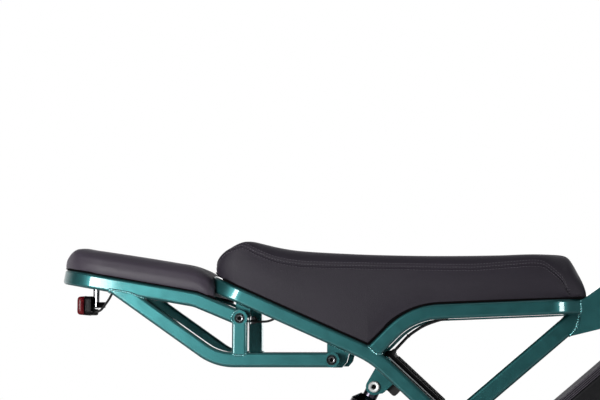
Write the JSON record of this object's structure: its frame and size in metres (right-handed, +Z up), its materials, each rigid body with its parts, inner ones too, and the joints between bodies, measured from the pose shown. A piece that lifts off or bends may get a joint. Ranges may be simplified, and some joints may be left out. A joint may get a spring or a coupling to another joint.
{
  "type": "electric fat bike frame with bench seat and pillion rack",
  "caption": "Twin-tube frame of an electric fat bike with bench seat, bolt-on pillion rack, tail lamp, battery and coil-over rear shock.",
  "frame": {"origin": "centre of the bottom bracket shell's bore, in the middle plane", "axes": "+X forward towards the head tube, +Y to the rider's left along the bottom bracket axis, +Z up"},
  "size_m": [1.118, 0.196, 0.4915],
  "materials": {
    "teal_paint": "gloss metallic",
    "seat_cover": "matte grained",
    "black_plastic": "satin",
    "grey_plastic": "satin",
    "rubber": "matte",
    "red_lens": "gloss",
    "bright_steel": "satin",
    "chrome": "polished",
    "dark_alloy": "black anodised",
    "black_spring": "gloss"
  },
  "bodies": {
    "root": {"battery_case": "black_plastic", "battery_dock": "dark_alloy", "battery_lower_cap": "black_plastic", "battery_rim": "grey_plastic", "battery_upper_cap": "black_plastic", "bench_seat": "seat_cover", "bottom_bracket_shell": "teal_paint", "brace": "teal_paint", "brace_cross_tube": "teal_paint", "bump_stop": "rubber", "controller_case": "black_plastic", "down_tube": "teal_paint", "head_tube": "teal_paint", "lamp_bracket": "bright_steel", "lamp_housing": "black_plastic", "lamp_lead": "rubber", "lamp_lens": "red_lens", "loom": "rubber", "main_rail_left": "teal_paint", "main_rail_right": "teal_paint", "neck": "teal_paint", "pillion_pad": "seat_cover", "pillion_pan": "black_plastic", "pivot_gusset_left": "teal_paint", "pivot_gusset_right": "teal_paint", "rack_front_cross": "teal_paint", "rack_hoop": "teal_paint", "rack_lower_lug_left": "teal_paint", "rack_lower_lug_right": "teal_paint", "rack_lower_rail_left": "teal_paint", "rack_lower_rail_right": "teal_paint", "rack_post_left": "teal_paint", "rack_post_right": "teal_paint", "rack_rear_cross": "teal_paint", "rack_top_rail_left": "teal_paint", "rack_top_rail_right": "teal_paint", "rack_upper_lug_left": "teal_paint", "rack_upper_lug_right": "teal_paint", "rack_wire": "rubber", "rear_hoop": "teal_paint", "seat_pan": "black_plastic", "shock_bolt": "bright_steel", "shock_collar": "dark_alloy", "shock_cross_tube": "teal_paint", "shock_damper": "dark_alloy", "shock_ear_left": "teal_paint", "shock_ear_right": "teal_paint", "shock_foot": "dark_alloy", "shock_head": "dark_alloy", "shock_shaft": "chrome", "shock_spring": "black_spring", "shock_spring_seat": "dark_alloy", "swingarm_pivot_tube": "teal_paint", "top_rail_left": "teal_paint", "top_rail_right": "teal_paint"}
  },
  "joints": []
}
